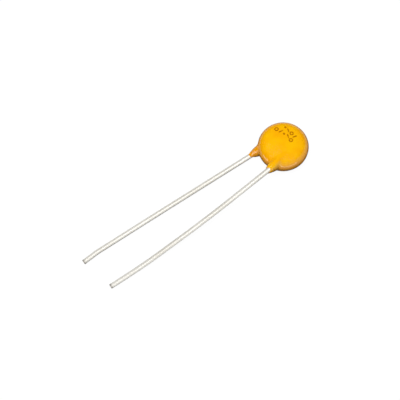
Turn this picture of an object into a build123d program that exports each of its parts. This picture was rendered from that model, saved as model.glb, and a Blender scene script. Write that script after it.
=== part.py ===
from build123d import *
from build123d.topology import SkipClean
from math import asin, atan2, cos, degrees, hypot, radians, tan
import os

# A disc varistor with two radial wire leads, lying on a table on its rear face.
# A round ceramic disc has a silver electrode fired on each face. A wire lead is soldered to each
# electrode, and the whole head is dipped in epoxy, which runs a little way down both leads.
#
# The head has its own frame: its origin is the middle of the ceramic, +Z is the front face and
# the leads leave towards -X. All sizes are in millimetres.

# Ceramic disc and its electrodes
DISC_RADIUS = 3.5
DISC_THICKNESS = 1.5
ELECTRODE_RADIUS = 2.9
ELECTRODE_THICKNESS = 0.05

# Leads
WIRE_RADIUS = 0.4
LEAD_BEND_RADIUS = 4.0
KINK_RADIUS = 6.0

# Epoxy coat
COAT_RADIUS = 4.2
RIM_RADIUS = 1.6
CROWN_HEIGHT = 1.85
LEAD_SKIN = 0.22

# Solder on each lead
SOLDER_LENGTH = 3.8
SOLDER_PAST_LEAD = 0.15
SOLDER_HALF_WIDTH = 0.95
SOLDER_FILM = 0.03
SOLDER_OVER_LEAD = 0.06

# Heights in the head's frame
ELECTRODE_FACE = DISC_THICKNESS / 2 + ELECTRODE_THICKNESS
LEAD_HEIGHT = ELECTRODE_FACE + SOLDER_FILM + WIRE_RADIUS
RIDGE_RADIUS = WIRE_RADIUS + LEAD_SKIN
RIM_CENTRE = COAT_RADIUS - RIM_RADIUS
CROWN_RADIUS = (RIM_CENTRE**2 + CROWN_HEIGHT**2 - RIM_RADIUS**2) / (2 * (CROWN_HEIGHT - RIM_RADIUS))
CROWN_CENTRE = CROWN_RADIUS - CROWN_HEIGHT

# The front lead inside the head: from its inner end over the electrode to its bend at the rim.
# The rear lead is the same, turned half a turn about the head's X axis.
LEAD_INNER = Vector(1.0, -1.2, LEAD_HEIGHT)
LEAD_BEND = Vector(-4.3, -2.2, LEAD_HEIGHT)
FLIP = Rot(180, 0, 0)

# At rest the head leans on its rear crown and on the ridge of its rear lead, at the lead's bend.
# The crown is part of a ball, so its lowest point is straight under the ball's centre.
RIDGE_DEPTH = LEAD_HEIGHT + RIDGE_RADIUS
BALL_TO_RIDGE = hypot(LEAD_BEND.Y, CROWN_CENTRE + RIDGE_DEPTH)
TILT = atan2(CROWN_CENTRE + RIDGE_DEPTH, -LEAD_BEND.Y) - asin(CROWN_RADIUS / BALL_TO_RIDGE)
REST_HEIGHT = CROWN_RADIUS - CROWN_CENTRE * cos(TILT)
HEAD = Pos(0, 0, REST_HEIGHT) * Rot(degrees(TILT), 0, 0)

# Free part of each lead, on the table, as corners that arcs round off. X and Y are measured from
# the middle of the head, Z from the table.
FRONT_CORNERS = [(-17.0, -2.83, 1.70), (-29.5, -3.02, 0.78)]
FRONT_TIP = (-35.9, -2.75, WIRE_RADIUS)
REAR_CORNERS = [(-21.0, 2.80, 0.60), (-34.6, 3.27, 0.42)]
REAR_TIP = (-37.3, 3.12, WIRE_RADIUS)

# The coat over a lead, as ellipses across the wire, from the thin end of its leg to the inner end
# of its ridge. Each row is the distance past the lead's bend, then how far the coat reaches from
# the wire's axis: towards the other lead, away from it, towards the middle of the head, and
# away from the middle.
COAT_SECTIONS = [
    (1.10, 0.46, 0.46, 0.47, 0.46),
    (0.45, 0.58, 0.54, 0.74, 0.52),
    (-0.25, 0.92, 0.68, 1.50, 0.60),
    (-1.15, 0.96, 0.84, 1.85, 0.63),
    (-2.30, 0.70, 0.66, 1.35, 0.62),
    (-3.80, 0.54, 0.54, 0.95, 0.57),
    (-5.40, 0.42, 0.42, 0.75, 0.46),
]
LEG_LENGTH = 0.38
LEG_END_SLANT = 45


def in_head(point, flipped=False):
    """Place on the table of a point of the head's frame, or of the same point on its rear face."""
    turn = FLIP if flipped else Pos(0, 0, 0)
    return (HEAD * turn * Pos(*point)).position


def round_over_run(before, corner, after, share=0.45):
    """Largest radius that fits the corner and leaves most of both runs straight."""
    run_in = corner - before
    run_out = after - corner
    turn = radians(run_in.get_angle(run_out))
    return share * min(run_in.length, run_out.length) / tan(turn / 2)


def lead_path(flipped, corners, tip, last_radius=None):
    """Line of a lead from over its electrode to its cut end, as runs joined by arcs."""
    points = [in_head(LEAD_INNER, flipped), in_head(LEAD_BEND, flipped)]
    points += [Vector(*corner) for corner in corners]
    points.append(Vector(*tip))
    radii = [LEAD_BEND_RADIUS]
    for before, corner, after in zip(points[1:], points[2:], points[3:]):
        radii.append(round_over_run(before, corner, after))
    if last_radius:
        radii[-1] = last_radius
    return FilletPolyline(*points, radius=radii)


def wire_along(path):
    """Round wire along a lead's path."""
    start = Plane(origin=path @ 0, z_dir=path % 0)
    return sweep(start * Circle(WIRE_RADIUS), path=path)


def ceramic_disc():
    """Pressed and sintered disc."""
    return Cylinder(DISC_RADIUS, DISC_THICKNESS)


def front_electrode():
    """Silver layer fired on the front face, smaller than the ceramic all round."""
    layer = Cylinder(ELECTRODE_RADIUS, ELECTRODE_THICKNESS, align=(Align.CENTER, Align.CENTER, Align.MIN))
    return Pos(0, 0, DISC_THICKNESS / 2) * layer


def lead_direction():
    """Direction of the front lead inside the head, from its bend to its inner end."""
    return (LEAD_INNER - LEAD_BEND).normalized()


def front_solder():
    """Fillet of solder along both sides of the front lead, with a thin skin over it."""
    along = lead_direction()
    end = Vector(LEAD_INNER.X, LEAD_INNER.Y, ELECTRODE_FACE) + along * SOLDER_PAST_LEAD
    crest = SOLDER_FILM + 2 * WIRE_RADIUS + SOLDER_OVER_LEAD
    crest_half_width = WIRE_RADIUS / 2
    middle = (SOLDER_HALF_WIDTH / 2, WIRE_RADIUS)
    side = ThreePointArc((crest_half_width, crest), middle, (SOLDER_HALF_WIDTH, 0))
    top = Line((-crest_half_width, crest), (crest_half_width, crest))
    base = Line((SOLDER_HALF_WIDTH, 0), (-SOLDER_HALF_WIDTH, 0))
    section = make_face(Curve() + [top, side, base, mirror(side, about=Plane.YZ)])
    across = Vector(0, 0, 1).cross(along)
    place = Plane(origin=end - along * SOLDER_LENGTH, x_dir=across, z_dir=along)
    return extrude(place * section, amount=SOLDER_LENGTH)


def coat_section():
    """Half of the dipped body's section: a fully rounded rim and a slightly crowned face on each side."""
    crown_centre = Vector(0, -CROWN_CENTRE)
    to_rim = (Vector(RIM_CENTRE, 0) - crown_centre).normalized()
    shoulder = crown_centre + to_rim * CROWN_RADIUS
    halfway = (to_rim + Vector(0, 1)).normalized()
    crown = ThreePointArc((0, CROWN_HEIGHT), crown_centre + halfway * CROWN_RADIUS, shoulder)
    rim = ThreePointArc(shoulder, (COAT_RADIUS, 0), (shoulder.X, -shoulder.Y))
    axis = Line((0, -CROWN_HEIGHT), (0, CROWN_HEIGHT))
    return Plane.XZ * make_face(Curve() + [crown, rim, mirror(crown, about=Plane.XZ), axis])


def coat_body():
    """Dipped body in two halves, the plain one and the one that the leads leave."""
    half = revolve(coat_section(), Axis.Z, 180)
    return Rot(0, 0, -90) * half + Rot(0, 0, 90) * half


def coat_over_lead(flipped, first_corner):
    """Coat over one lead: a ridge that fades into the crown, and a leg that thins along the wire."""
    bend = in_head(LEAD_BEND, flipped)
    inward = (in_head(LEAD_INNER, flipped) - bend).normalized()
    outward = (Vector(*first_corner) - bend).normalized()
    up = in_head((0, 0, 1), flipped) - in_head((0, 0, 0), flipped)
    to_leads = Vector(-1, 0, 0)
    sections = []
    for distance, beside, away, down, above in COAT_SECTIONS:
        on_wire = bend + (outward * distance if distance > 0 else inward * -distance)
        across = Plane(origin=on_wire, x_dir=up.cross(to_leads), z_dir=to_leads)
        middle = Pos((away - beside) / 2, (above - down) / 2)
        sections.append(across * middle * Ellipse((beside + away) / 2, (above + down) / 2))
    end = Plane(origin=bend + outward * LEG_LENGTH, x_dir=up.cross(outward), z_dir=outward)
    slanted_end = Plane(end.location * Rot(-LEG_END_SLANT, 0, 0))
    return split(loft(sections), bisect_by=slanted_end, keep=Keep.BOTTOM)


def coating(inner_pieces):
    """Whole coat, hollowed by everything that it was dipped over.

    The seam between the body's halves stays, so that the plain half keeps its few large facets.
    """
    with SkipClean():
        coat = HEAD * coat_body()
        coat += coat_over_lead(False, FRONT_CORNERS[0])
        coat += coat_over_lead(True, REAR_CORNERS[0])
        for piece in inner_pieces:
            coat -= piece
    return coat


def build():
    """All pieces of the varistor by name, with the head at rest on the table."""
    nodes = {}
    nodes["ceramic_disc"] = HEAD * ceramic_disc()
    nodes["front_electrode"] = HEAD * front_electrode()
    nodes["rear_electrode"] = HEAD * FLIP * front_electrode()
    nodes["front_lead"] = wire_along(lead_path(False, FRONT_CORNERS, FRONT_TIP))
    nodes["rear_lead"] = wire_along(lead_path(True, REAR_CORNERS, REAR_TIP, KINK_RADIUS))
    nodes["front_solder"] = HEAD * front_solder() - nodes["front_lead"]
    nodes["rear_solder"] = HEAD * FLIP * front_solder() - nodes["rear_lead"]
    nodes["coating"] = coating(list(nodes.values()))
    return nodes


def centred(nodes):
    """Pieces moved together, so that the origin is under the middle of the whole part."""
    box = Compound(list(nodes.values())).bounding_box()
    middle = box.center()
    shift = Pos(-middle.X, -middle.Y, -box.min.Z)
    return {name: shift * solid for name, solid in nodes.items()}, shift


if __name__ == "__main__":
    os.makedirs("parts", exist_ok=True)
    print("tilt", round(degrees(TILT), 3), "height", round(REST_HEIGHT, 3))
    nodes, shift = centred(build())
    print("shift", shift.position)
    for name, solid in nodes.items():
        print(name, solid.is_valid, round(solid.volume, 4), len(solid.solids()))
        export_step(solid, "parts/" + name + ".step")
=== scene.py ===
from math import atan2, cos, pi, radians, sin

import bmesh
import bpy
from mathutils import Matrix, Vector, noise

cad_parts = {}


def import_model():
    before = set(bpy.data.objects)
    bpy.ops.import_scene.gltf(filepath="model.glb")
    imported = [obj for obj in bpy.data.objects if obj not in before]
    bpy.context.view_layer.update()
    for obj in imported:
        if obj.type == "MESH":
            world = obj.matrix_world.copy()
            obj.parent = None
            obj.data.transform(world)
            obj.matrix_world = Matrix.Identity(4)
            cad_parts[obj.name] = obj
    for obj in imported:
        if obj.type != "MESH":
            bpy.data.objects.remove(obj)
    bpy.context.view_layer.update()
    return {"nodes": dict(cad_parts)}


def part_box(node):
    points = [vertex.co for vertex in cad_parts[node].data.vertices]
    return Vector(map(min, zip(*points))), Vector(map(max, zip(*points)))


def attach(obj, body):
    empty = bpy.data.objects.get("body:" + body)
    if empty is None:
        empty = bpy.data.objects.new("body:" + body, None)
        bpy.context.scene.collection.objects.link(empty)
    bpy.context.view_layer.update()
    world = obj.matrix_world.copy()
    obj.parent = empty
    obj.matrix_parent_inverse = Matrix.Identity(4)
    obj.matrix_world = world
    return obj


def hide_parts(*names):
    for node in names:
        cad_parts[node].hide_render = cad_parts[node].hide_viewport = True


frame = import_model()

# Looks of a disc varistor that lies on a pale table, seen from above.
# Values named _MM are millimetres, and MM turns them into metres. Other lengths are metres.
# Colours are linear.
# Azimuths and elevations are in degrees: azimuth 0 is towards -Y and 90 towards +X.
MM = 0.001

# Camera. It looks at a point of the table, given from the middle of the disc.
IMAGE_SIZE = 400
SENSOR_WIDTH = 36.0
FOCAL_LENGTH_PIXELS = 889.8
CAMERA_AZIMUTH = -24.75
CAMERA_ELEVATION = 71.52
CAMERA_ROLL = -10.44
CAMERA_DISTANCE_MM = 145.6
CAMERA_AIM_MM = (-16.03, 0.97)
CAMERA_CLIP = (0.01, 20.0)

# Shape of the coat's skin: its grid, how far its joins melt, its slow waves, and the length of
# the lead stubs that it is remeshed with
VOXEL_MM = 0.07
BLEND_STEPS = 40
BLEND_FACTOR = 0.5
WAVE_DEPTH_MM = 0.03
WAVE_SIZE_MM = 2.4
STUB_PAST_COAT_MM = 0.6
WELD_MM = 0.0001

# Where the leads leave the disc, from its middle, and how far round that the skin melts further.
# The legs, which lie beyond LEG_START_MM, keep their shape.
JOINS_MM = (
    ((-4.3, -2.2, 1.0), (-1.2, -1.6, 1.5)),
    ((-4.3, 2.2, -1.0), (-2.6, 1.9, -0.6)),
)
JOIN_REACH_MM = 2.2
JOIN_EDGE_MM = 1.0
JOIN_STEPS = 120
LEG_START_MM = -5.0
LEG_EDGE_MM = 1.0

# Shape of the leads: the edge broken at the cut end, and the stretches of wire that tell which
# way that end faces
SHARP_ANGLE = radians(40)
END_BREAK_MM = 0.05
END_BREAK_STEPS = 2
TIP_MM = 0.2
BEFORE_TIP_MM = (0.5, 6.0)

# Epoxy: mottled, and with painted shade low on its rim: a deeper, redder colour that fades out between
# two heights from the table
EPOXY = (0.970, 0.505, 0.001, 1.0)
EPOXY_DEEP = (0.960, 0.430, 0.001, 1.0)
EPOXY_RIM_SHADE = (0.950, 0.375, 0.001, 1.0)
RIM_SHADE_MM = (2.5, 3.4)
MOTTLE_MM = 1.6
MOTTLE_SPAN = (0.35, 0.65)
EPOXY_IOR = 1.5
EPOXY_ROUGHNESS = (0.10, 0.17)
EPOXY_GLOSS_MM = 0.5
EPOXY_GRAIN_MM = 0.7
EPOXY_BUMP_MM = 0.002

# Marks printed on the face: kind, place from the middle of the disc, turn in degrees, and size.
# They are plain rings, bars and dots, in ink that is thin in places.
MARKS = [
    ("ring", 0.55, 2.64, 0, 0.27),
    ("bar", 0.88, 1.88, -12, 0.30),
    ("dot", 1.00, 1.20, 0, 0.20),
    ("bar", 1.28, 0.48, 70, 0.30),
    ("ring", 1.24, -0.34, 0, 0.26),
    ("dot", 1.90, 2.04, 0, 0.19),
    ("bar", 1.94, 1.32, 70, 0.28),
    ("ring", 2.05, 0.55, 0, 0.25),
    ("bar", 2.12, -0.18, -12, 0.28),
]
STROKE_MM = 0.105
STROKE_EDGE_MM = 0.03
INK = (0.420, 0.120, 0.000, 1.0)
INK_PATCH_MM = 0.12
INK_PATCH_SPAN = (0.30, 0.55)
INK_THINNEST = 0.35

# Metals: bright and dull colour, size and stretch of the streaks or grain, roughness and bump
TIN = {
    "bright": (0.905, 0.880, 0.815, 1.0),
    "dull": (0.815, 0.785, 0.710, 1.0),
    "grain_mm": 0.60,
    "stretch": 12,
    "rough": 0.40,
    "depth_mm": 0.002,
    "metallic": 0.3,
}
SILVER = {
    "bright": (0.720, 0.700, 0.660, 1.0),
    "dull": (0.520, 0.500, 0.460, 1.0),
    "grain_mm": 0.06,
    "stretch": 1,
    "rough": 0.45,
    "depth_mm": 0.003,
    "metallic": 1.0,
}
SOLDER = {
    "bright": (0.620, 0.620, 0.620, 1.0),
    "dull": (0.440, 0.440, 0.430, 1.0),
    "grain_mm": 0.10,
    "stretch": 1,
    "rough": 0.32,
    "depth_mm": 0.006,
    "metallic": 1.0,
}
METAL_PATCH_MM = 1.6
METAL_PATCH_STRETCH = 4
METAL_PATCH_SPAN = (0.35, 0.70)
METAL_ROUGHNESS_DOWN = 0.06
METAL_ROUGHNESS_UP = 0.08

# Cut end of a lead: copper on the cut, and dull tin just before it
COPPER = (0.330, 0.170, 0.100, 1.0)
CUT_DULL = (0.300, 0.270, 0.240, 1.0)
CUT_SMEAR_MM = 0.45
CUT_FACING = (0.90, 0.95)

# Ceramic
CERAMIC = (0.060, 0.060, 0.065, 1.0)
CERAMIC_LIGHT = (0.110, 0.110, 0.115, 1.0)
CERAMIC_GRAIN_MM = 0.08
CERAMIC_ROUGHNESS = (0.55, 0.75)
CERAMIC_BUMP_MM = 0.006

# Part of a noise's range over which a finish goes from its least to its most roughness
GLOSS_SPAN = (0.3, 0.7)

# Table. Right under the part it is in shade, which shows only in gloss: half width and soft edge.
FLOOR_RADIUS = 3.0
FLOOR_SIDES = 96
FLOOR = (0.07, 0.07, 0.07, 1.0)
FLOOR_WHITE = 0.95
SHADE_DEPTH = 0.95
SHADE_UNDER_HEAD_MM = (7.0, 4.0)
SHADE_UNDER_LEAD_MM = (0.5, 1.2)
LEAD_END_MM = 1.0

# World: its plain light, and the dark card, which shows only in gloss
WHITE = (1.0, 1.0, 1.0, 1.0)
WORLD_LEVEL = 0.05
CARD_TOWARDS = (0.10, 0.60, 0.80)
CARD_LEVEL = 0.03
CARD_RADIUS = 76
CARD_EDGE = 14

# Lamps: name, azimuth, elevation, distance, size and radiance. The glints show only in gloss.
SOFT_LAMPS = [
    ("key", -135, 78, 0.45, 0.34, 6.0),
    ("fill", 10, 68, 0.60, 0.40, 3.3),
]
COAT_GLINTS = [
    ("strip_left", -75, 9, 0.40, (0.60, 0.10), 4.2),
    ("strip_right", -10, 2, 0.40, (0.36, 0.09), 4.0),
]
LEAD_GLINTS = [
    ("overhead", 34, 71, 0.40, (0.30, 0.26), 2.6),
]

head_low, head_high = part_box("ceramic_disc")
HEAD = (head_low + head_high) / 2

# Shader helpers


def new_material(name):
    """New material, its node tree and its shader."""
    material = bpy.data.materials.new(name)
    material.use_nodes = True
    return material, material.node_tree, material.node_tree.nodes["Principled BSDF"]


def noise_at(tree, size_mm, detail, stretch=1):
    """Noise on the object, with features of about that size, and so many times longer along X."""
    where = tree.nodes.new("ShaderNodeTexCoord")
    place = tree.nodes.new("ShaderNodeMapping")
    place.inputs["Scale"].default_value = [1 / (size_mm * MM * s) for s in (stretch, 1, 1)]
    grain = tree.nodes.new("ShaderNodeTexNoise")
    grain.inputs["Scale"].default_value = 1.0
    grain.inputs["Detail"].default_value = detail
    tree.links.new(where.outputs["Object"], place.inputs["Vector"])
    tree.links.new(place.outputs["Vector"], grain.inputs["Vector"])
    return grain.outputs["Fac"]


def height_at(tree):
    """Height above the table on the object, in metres."""
    where = tree.nodes.new("ShaderNodeTexCoord")
    split = tree.nodes.new("ShaderNodeSeparateXYZ")
    tree.links.new(where.outputs["Object"], split.inputs["Vector"])
    return split.outputs["Z"]


def ramp(tree, value, low, high, first, last):
    """What lies between low and high, turned into what lies between first and last."""
    node = tree.nodes.new("ShaderNodeMapRange")
    tree.links.new(value, node.inputs["Value"])
    node.inputs["From Min"].default_value = low
    node.inputs["From Max"].default_value = high
    node.inputs["To Min"].default_value = first
    node.inputs["To Max"].default_value = last
    return node.outputs["Result"]


def maths(tree, operation, *values):
    """Result of a sum or the like on sockets and numbers."""
    node = tree.nodes.new("ShaderNodeMath")
    node.operation = operation
    for value, socket in zip(values, node.inputs):
        if isinstance(value, (int, float)):
            socket.default_value = value
        else:
            tree.links.new(value, socket)
    return node.outputs["Value"]


def dot(tree, vector, axis):
    """How far a vector's socket reaches along a constant axis."""
    node = tree.nodes.new("ShaderNodeVectorMath")
    node.operation = "DOT_PRODUCT"
    tree.links.new(vector, node.inputs[0])
    node.inputs[1].default_value = axis
    return node.outputs["Value"]


def mixed(tree, share, first, second):
    """Mix of two colours, each a constant or a socket."""
    node = tree.nodes.new("ShaderNodeMix")
    node.data_type = "RGBA"
    sockets = {socket.identifier: socket for socket in node.inputs}
    tree.links.new(share, sockets["Factor_Float"])
    for value, socket in ((first, sockets["A_Color"]), (second, sockets["B_Color"])):
        if isinstance(value, tuple):
            socket.default_value = value
        else:
            tree.links.new(value, socket)
    return next(socket for socket in node.outputs if socket.identifier == "Result_Color")


def bumped(tree, shader, height, depth_mm):
    """Gives the shader a bump of that depth."""
    bump = tree.nodes.new("ShaderNodeBump")
    bump.inputs["Strength"].default_value = 1.0
    bump.inputs["Distance"].default_value = depth_mm * MM
    tree.links.new(height, bump.inputs["Height"])
    tree.links.new(bump.outputs["Normal"], shader.inputs["Normal"])


def seen_rays(tree):
    """1 for camera, glossy and transmission rays, else 0."""
    rays = tree.nodes.new("ShaderNodeLightPath")
    seen = maths(tree, "MAXIMUM", rays.outputs["Is Camera Ray"], rays.outputs["Is Glossy Ray"])
    return maths(tree, "MAXIMUM", seen, rays.outputs["Is Transmission Ray"])


# Strokes


def stroke_group():
    """Node group: 1 on a stroke round a segment or a ring, and 0 past its soft edge."""
    group = bpy.data.node_groups.new("stroke", "ShaderNodeTree")
    group.interface.new_socket("Vector", in_out="INPUT", socket_type="NodeSocketVector")
    for name in ("Half length", "Radius", "Half width", "Edge"):
        group.interface.new_socket(name, in_out="INPUT", socket_type="NodeSocketFloat")
    group.interface.new_socket("Mask", in_out="OUTPUT", socket_type="NodeSocketFloat")
    inside = group.nodes.new("NodeGroupInput")
    outside = group.nodes.new("NodeGroupOutput")
    split = group.nodes.new("ShaderNodeSeparateXYZ")
    group.links.new(inside.outputs["Vector"], split.inputs["Vector"])
    along = maths(group, "ABSOLUTE", split.outputs["X"])
    x = maths(group, "MAXIMUM", maths(group, "SUBTRACT", along, inside.outputs["Half length"]), 0.0)
    y = split.outputs["Y"]
    squares = maths(group, "ADD", maths(group, "MULTIPLY", x, x), maths(group, "MULTIPLY", y, y))
    away = maths(group, "SQRT", squares)
    off_ring = maths(group, "ABSOLUTE", maths(group, "SUBTRACT", away, inside.outputs["Radius"]))
    off_stroke = maths(group, "SUBTRACT", off_ring, inside.outputs["Half width"])
    past_edge = maths(group, "DIVIDE", off_stroke, inside.outputs["Edge"])
    group.links.new(ramp(group, past_edge, 0.0, 1.0, 1.0, 0.0), outside.inputs["Mask"])
    return group


def stroke(tree, group, centre, turn, **sizes_mm):
    """Mask of one stroke on a flat face seen from above, about a centre in metres."""
    where = tree.nodes.new("ShaderNodeTexCoord")
    place = tree.nodes.new("ShaderNodeMapping")
    place.vector_type = "TEXTURE"
    place.inputs["Location"].default_value = (centre[0], centre[1], 0)
    place.inputs["Rotation"].default_value = (0, 0, turn)
    place.inputs["Scale"].default_value = (MM, MM, MM)
    tree.links.new(where.outputs["Object"], place.inputs["Vector"])
    shape = tree.nodes.new("ShaderNodeGroup")
    shape.node_tree = group
    tree.links.new(place.outputs["Vector"], shape.inputs["Vector"])
    for name, value in sizes_mm.items():
        shape.inputs[name.replace("_", " ").capitalize()].default_value = value
    return shape.outputs["Mask"]


def marks_mask(tree):
    """1 where a mark is printed on the front face, else 0."""
    group = stroke_group()
    total = 0.0
    for kind, x, y, turn, size in MARKS:
        width = size if kind == "dot" else STROKE_MM
        mask = stroke(
            tree,
            group,
            (HEAD.x + x * MM, HEAD.y + y * MM),
            radians(turn),
            half_length=size if kind == "bar" else 0.0,
            radius=size if kind == "ring" else 0.0,
            half_width=width - STROKE_EDGE_MM / 2,
            edge=STROKE_EDGE_MM,
        )
        total = maths(tree, "MAXIMUM", total, mask)
    on_front = maths(tree, "GREATER_THAN", height_at(tree), HEAD.z)
    return maths(tree, "MULTIPLY", total, on_front)


# Materials


def epoxy_material():
    """Glossy dipped epoxy, a little uneven, with painted shade that deepens its colour low on the rim,
    and printed marks.
    """
    material, tree, shader = new_material("epoxy")
    mottle = ramp(tree, noise_at(tree, MOTTLE_MM, 3.0), *MOTTLE_SPAN, 0.0, 1.0)
    colour = mixed(tree, mottle, EPOXY, EPOXY_DEEP)
    # Painted shade: low on the rim the colour turns deeper and redder, standing in for the shade that
    # falls there.
    low, high = (height * MM for height in RIM_SHADE_MM)
    in_rim_shade = ramp(tree, height_at(tree), low, high, 1.0, 0.0)
    colour = mixed(tree, in_rim_shade, colour, EPOXY_RIM_SHADE)
    patchy = ramp(tree, noise_at(tree, INK_PATCH_MM, 2.0), *INK_PATCH_SPAN, INK_THINNEST, 1.0)
    ink = maths(tree, "MULTIPLY", marks_mask(tree), patchy)
    tree.links.new(mixed(tree, ink, colour, INK), shader.inputs["Base Color"])
    rough = ramp(tree, noise_at(tree, EPOXY_GLOSS_MM, 3.0), *GLOSS_SPAN, *EPOXY_ROUGHNESS)
    tree.links.new(rough, shader.inputs["Roughness"])
    shader.inputs["IOR"].default_value = EPOXY_IOR
    bumped(tree, shader, noise_at(tree, EPOXY_GRAIN_MM, 1.0), EPOXY_BUMP_MM)
    return material


def with_cut_end(tree, colour, cut_end, cut_at):
    """Colour of a lead with copper on its cut end, given where that faces and how far along it lies."""
    where = tree.nodes.new("ShaderNodeTexCoord")
    along = dot(tree, where.outputs["Object"], cut_end)
    smeared = ramp(tree, along, cut_at - CUT_SMEAR_MM * MM, cut_at, 0.0, 1.0)
    colour = mixed(tree, smeared, colour, CUT_DULL)
    normal = tree.nodes.new("ShaderNodeNewGeometry")
    facing = dot(tree, normal.outputs["True Normal"], cut_end)
    return mixed(tree, ramp(tree, facing, *CUT_FACING, 0.0, 1.0), colour, COPPER)


def metal_material(name, bright, dull, grain_mm, stretch, rough, depth_mm, metallic, cut=None):
    """Metal with patches that are duller, streaks or grain, and perhaps a cut end that shows copper."""
    material, tree, shader = new_material(name)
    patches = noise_at(tree, METAL_PATCH_MM, 2.0, METAL_PATCH_STRETCH)
    colour = mixed(tree, ramp(tree, patches, *METAL_PATCH_SPAN, 0.0, 1.0), bright, dull)
    if cut:
        colour = with_cut_end(tree, colour, *cut)
    tree.links.new(colour, shader.inputs["Base Color"])
    shader.inputs["Metallic"].default_value = metallic
    grain = noise_at(tree, grain_mm, 3.0, stretch)
    low, high = rough - METAL_ROUGHNESS_DOWN, rough + METAL_ROUGHNESS_UP
    tree.links.new(ramp(tree, grain, *GLOSS_SPAN, low, high), shader.inputs["Roughness"])
    bumped(tree, shader, grain, depth_mm)
    return material


def ceramic_material():
    """Matt sintered ceramic."""
    material, tree, shader = new_material("ceramic")
    grain = noise_at(tree, CERAMIC_GRAIN_MM, 4.0)
    tree.links.new(mixed(tree, grain, CERAMIC, CERAMIC_LIGHT), shader.inputs["Base Color"])
    tree.links.new(ramp(tree, grain, *GLOSS_SPAN, *CERAMIC_ROUGHNESS), shader.inputs["Roughness"])
    bumped(tree, shader, grain, CERAMIC_BUMP_MM)
    return material


# Pieces


def object_of(data, name):
    """New object in the scene, with a mesh, a lamp or a camera."""
    made = bpy.data.objects.new(name, data)
    bpy.context.scene.collection.objects.link(made)
    return made


def baked(made):
    """Mesh of an object with its modifiers applied. The object goes."""
    graph = bpy.context.evaluated_depsgraph_get()
    mesh = bpy.data.meshes.new_from_object(made.evaluated_get(graph))
    bpy.data.objects.remove(made)
    return mesh


def smoothed(made, steps, group_name=""):
    """Gives an object that many steps of smoothing, all over or where its group of vertices says."""
    smooth = made.modifiers.new("smooth", "SMOOTH")
    smooth.factor = BLEND_FACTOR
    smooth.iterations = steps
    smooth.vertex_group = group_name


def closed_copy(node, cut_x=None):
    """CAD node in millimetres with its vertices joined, cut off and capped on the far side of cut_x."""
    shape = bmesh.new()
    shape.from_mesh(frame["nodes"][node].data)
    bmesh.ops.scale(shape, vec=(1 / MM,) * 3, verts=shape.verts)
    bmesh.ops.remove_doubles(shape, verts=shape.verts, dist=WELD_MM)
    if cut_x is not None:
        everything = shape.verts[:] + shape.edges[:] + shape.faces[:]
        cut = bmesh.ops.bisect_plane(
            shape, geom=everything, plane_co=(cut_x, 0, 0), plane_no=(-1, 0, 0), clear_outer=True
        )
        edges = [e for e in cut["geom_cut"] if isinstance(e, bmesh.types.BMEdge)]
        bmesh.ops.holes_fill(shape, edges=edges)
    return shape


def skin_of_coat():
    """Coat with its joining lines blended as the wet epoxy would, over short stubs of the leads."""
    end_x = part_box("coating")[0].x / MM - STUB_PAST_COAT_MM
    whole = bpy.data.meshes.new("coat")
    joined = bmesh.new()
    for node, cut_x in (("coating", None), ("front_lead", end_x), ("rear_lead", end_x)):
        part = closed_copy(node, cut_x)
        scrap = bpy.data.meshes.new("scrap")
        part.to_mesh(scrap)
        joined.from_mesh(scrap)
        bpy.data.meshes.remove(scrap)
        part.free()
    joined.to_mesh(whole)
    joined.free()
    made = object_of(whole, "coat_source")
    remesh = made.modifiers.new("remesh", "REMESH")
    remesh.mode = "VOXEL"
    remesh.voxel_size = VOXEL_MM
    smoothed(made, BLEND_STEPS)
    return baked(made)


def off_segment(point, start, end):
    """Distance of a point from a segment."""
    span = end - start
    share = min(1.0, max(0.0, (point - start).dot(span) / span.length_squared))
    return (point - start - span * share).length


def melted(mesh):
    """Skin melted further where each lead leaves the disc, so that its ridge flows into the face."""
    made = object_of(mesh, "coat_joins")
    group = made.vertex_groups.new(name="joins")
    middle = HEAD / MM
    for vert in mesh.vertices:
        near = min(off_segment(vert.co, middle + Vector(a), middle + Vector(b)) for a, b in JOINS_MM)
        share = (JOIN_REACH_MM - near) / JOIN_EDGE_MM
        before_leg = (vert.co.x - middle.x - LEG_START_MM) / LEG_EDGE_MM
        weight = min(1.0, share, before_leg)
        if weight > 0:
            group.add([vert.index], weight, "REPLACE")
    smoothed(made, JOIN_STEPS, group.name)
    return baked(made)


def coat_piece():
    """The whole coat, with the slow waves that a dipped coat has."""
    mesh = melted(skin_of_coat())
    shape = bmesh.new()
    shape.from_mesh(mesh)
    shape.normal_update()
    for vert in shape.verts:
        wave = noise.noise(vert.co / WAVE_SIZE_MM)
        vert.co -= vert.normal * WAVE_DEPTH_MM * (0.5 + 0.5 * wave)
    bmesh.ops.scale(shape, vec=(MM,) * 3, verts=shape.verts)
    for face in shape.faces:
        face.smooth = True
    shape.to_mesh(mesh)
    shape.free()
    made = object_of(mesh, "coat")
    made.data.materials.append(epoxy_material())
    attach(made, "root")
    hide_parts("coating")
    return made


def finish_of(node, material):
    """Gives a CAD node a material."""
    made = frame["nodes"][node]
    made.data.materials.clear()
    made.data.materials.append(material)


def tip_direction(node):
    """Direction in which a lead's cut end faces, from the mesh at its far end."""
    verts = [v.co for v in frame["nodes"][node].data.vertices]
    low = min(v.x for v in verts)
    near, far = (reach * MM for reach in BEFORE_TIP_MM)
    tip = [v for v in verts if v.x < low + TIP_MM * MM]
    back = [v for v in verts if low + near < v.x < low + far]
    return tuple((sum(tip, Vector()) / len(tip) - sum(back, Vector()) / len(back)).normalized())


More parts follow.
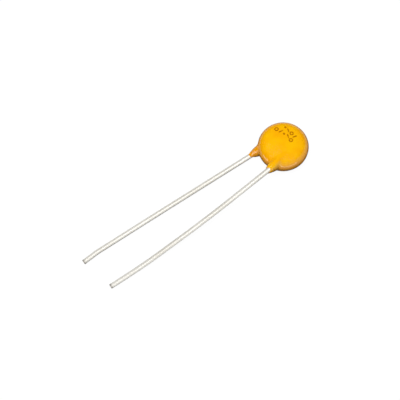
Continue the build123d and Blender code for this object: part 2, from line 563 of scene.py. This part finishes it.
def lead_piece(node):
    """A lead with a smooth skin and the edge of its cut end slightly broken."""
    shape = closed_copy(node)
    shape.normal_update()
    edges = [e for e in shape.edges if e.is_manifold and e.calc_face_angle() > SHARP_ANGLE]
    bmesh.ops.bevel(
        shape, geom=edges, offset=END_BREAK_MM, segments=END_BREAK_STEPS, profile=0.5, affect="EDGES"
    )
    for face in shape.faces:
        face.smooth = True
    for edge in shape.edges:
        edge.smooth = not edge.is_manifold or edge.calc_face_angle() < SHARP_ANGLE / 2
    bmesh.ops.scale(shape, vec=(MM,) * 3, verts=shape.verts)
    mesh = bpy.data.meshes.new(node)
    shape.to_mesh(mesh)
    shape.free()
    made = object_of(mesh, node + "_skin")
    cut_end = tip_direction(node)
    cut_at = max(v.co.dot(Vector(cut_end)) for v in mesh.vertices)
    mesh.materials.append(metal_material("tin_" + node, **TIN, cut=(cut_end, cut_at)))
    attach(made, "root")
    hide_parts(node)
    return made


# Table and world


def lead_span(node):
    """Middle, turn and half length in millimetres of a lead's footprint on the table."""
    verts = [v.co for v in frame["nodes"][node].data.vertices]
    ends = []
    for end_x in (min(v.x for v in verts), max(v.x for v in verts)):
        near = [v for v in verts if abs(v.x - end_x) < LEAD_END_MM * MM]
        ends.append(sum(near, Vector()) / len(near))
    span = ends[1] - ends[0]
    return (ends[0] + ends[1]) / 2, atan2(span.y, span.x), span.length / 2 / MM


def shaded_table(tree):
    """1 on the table close under the head and the leads, where it lies in their shade."""
    group = stroke_group()
    half_width, edge = SHADE_UNDER_HEAD_MM
    total = stroke(tree, group, HEAD, 0.0, half_width=half_width, edge=edge)
    half_width, edge = SHADE_UNDER_LEAD_MM
    for node in ("front_lead", "rear_lead"):
        middle, turn, half_length = lead_span(node)
        sizes = {"half_length": half_length, "half_width": half_width, "edge": edge}
        mask = stroke(tree, group, middle, turn, **sizes)
        total = maths(tree, "MAXIMUM", total, mask)
    return total


def floor():
    """Pale table. It looks white, keeps a faint shadow, and is dark in gloss right under the part."""
    shape = bmesh.new()
    bmesh.ops.create_circle(shape, cap_ends=True, segments=FLOOR_SIDES, radius=FLOOR_RADIUS)
    mesh = bpy.data.meshes.new("table")
    shape.to_mesh(mesh)
    shape.free()
    made = object_of(mesh, "table")
    material, tree, shader = new_material("table")
    shader.inputs["Base Color"].default_value = FLOOR
    shader.inputs["Roughness"].default_value = 1.0
    shader.inputs["Specular IOR Level"].default_value = 0.0
    rays = tree.nodes.new("ShaderNodeLightPath")
    shade = maths(tree, "MULTIPLY", shaded_table(tree), rays.outputs["Is Glossy Ray"])
    level = ramp(tree, shade, 0.0, 1.0, FLOOR_WHITE, FLOOR_WHITE * (1 - SHADE_DEPTH))
    white = tree.nodes.new("ShaderNodeEmission")
    white.inputs["Color"].default_value = WHITE
    tree.links.new(maths(tree, "MULTIPLY", seen_rays(tree), level), white.inputs["Strength"])
    total = tree.nodes.new("ShaderNodeAddShader")
    tree.links.new(shader.outputs["BSDF"], total.inputs[0])
    tree.links.new(white.outputs["Emission"], total.inputs[1])
    tree.links.new(total.outputs["Shader"], tree.nodes["Material Output"].inputs["Surface"])
    material.cycles.emission_sampling = "NONE"
    mesh.materials.append(material)


def world():
    """White surroundings, with a wide soft dark card over the face in gloss, and dim plain light."""
    made = bpy.data.worlds.new("studio")
    bpy.context.scene.world = made
    made.use_nodes = True
    made.cycles.sampling_method = "NONE"
    tree = made.node_tree
    background = tree.nodes["Background"]
    background.inputs["Color"].default_value = WHITE
    where = tree.nodes.new("ShaderNodeTexCoord")
    towards = dot(tree, where.outputs["Generated"], Vector(CARD_TOWARDS).normalized())
    outside, inside = cos(radians(CARD_RADIUS + CARD_EDGE)), cos(radians(CARD_RADIUS))
    white = ramp(tree, towards, outside, inside, 1.0, CARD_LEVEL)
    rays = tree.nodes.new("ShaderNodeLightPath")
    mirrored = maths(tree, "MAXIMUM", rays.outputs["Is Glossy Ray"], rays.outputs["Is Transmission Ray"])
    in_gloss = maths(tree, "MULTIPLY", mirrored, white)
    behind = maths(tree, "MAXIMUM", rays.outputs["Is Camera Ray"], in_gloss)
    plain = ramp(tree, seen_rays(tree), 0.0, 1.0, WORLD_LEVEL, 0.0)
    tree.links.new(maths(tree, "ADD", plain, behind), background.inputs["Strength"])


# Camera and lamps


def aim(made, place, target, roll=0.0):
    """Puts a lamp or camera at a place, looking at the target."""
    made.location = place
    turn = (target - place).to_track_quat("-Z", "Y")
    made.rotation_mode = "QUATERNION"
    made.rotation_quaternion = turn @ Matrix.Rotation(radians(roll), 3, "Z").to_quaternion()


def direction(azimuth, elevation):
    """Direction from the object."""
    a, e = radians(azimuth), radians(elevation)
    return Vector((sin(a) * cos(e), -cos(a) * cos(e), sin(e)))


def camera():
    """Camera at the photograph's viewing angle."""
    data = bpy.data.cameras.new("camera")
    data.sensor_width = SENSOR_WIDTH
    data.lens = FOCAL_LENGTH_PIXELS * SENSOR_WIDTH / IMAGE_SIZE
    data.clip_start, data.clip_end = CAMERA_CLIP
    made = object_of(data, "camera")
    target = Vector((HEAD.x + CAMERA_AIM_MM[0] * MM, HEAD.y + CAMERA_AIM_MM[1] * MM, 0))
    back = direction(CAMERA_AZIMUTH, CAMERA_ELEVATION)
    aim(made, target + back * CAMERA_DISTANCE_MM * MM, target, CAMERA_ROLL)
    bpy.context.scene.camera = made


def soft_lamp(name, azimuth, elevation, distance, size, radiance):
    """Round soft lamp that looks at the middle of the part. It isn't mirrored in gloss."""
    data = bpy.data.lights.new(name, "AREA")
    data.shape = "DISK"
    data.size = size
    data.energy = radiance * pi * pi * (size / 2) ** 2
    made = object_of(data, name)
    aim(made, direction(azimuth, elevation) * distance, Vector((0, 0, 0)))
    made.visible_glossy = False


def gloss_lamp(name, azimuth, elevation, distance, size, radiance, receivers):
    """Rectangle that shows only as a glint in the gloss of its receivers."""
    data = bpy.data.lights.new(name, "AREA")
    data.shape = "RECTANGLE"
    data.size, data.size_y = size
    data.energy = radiance * pi * data.size * data.size_y
    made = object_of(data, name)
    aim(made, direction(azimuth, elevation) * distance, Vector((0, 0, 0)))
    made.visible_diffuse = False
    made.visible_camera = False
    made.light_linking.receiver_collection = receivers


def collected(name, pieces):
    """Collection of the pieces that a lamp shines on."""
    receivers = bpy.data.collections.new(name)
    for piece in pieces:
        receivers.objects.link(piece)
    return receivers


# Scene

coat = coat_piece()
finish_of("ceramic_disc", ceramic_material())
silver = metal_material("silver", **SILVER)
for node in ("front_electrode", "rear_electrode"):
    finish_of(node, silver)
solder = metal_material("solder", **SOLDER)
for node in ("front_solder", "rear_solder"):
    finish_of(node, solder)
leads = [lead_piece(node) for node in ("front_lead", "rear_lead")]

floor()
world()
camera()
for values in SOFT_LAMPS:
    soft_lamp(*values)
near_side = collected("near_side", [coat])
for values in COAT_GLINTS:
    gloss_lamp(*values, near_side)
wires = collected("wires", leads)
for values in LEAD_GLINTS:
    gloss_lamp(*values, wires)
bpy.context.scene.view_settings.view_transform = "Standard"
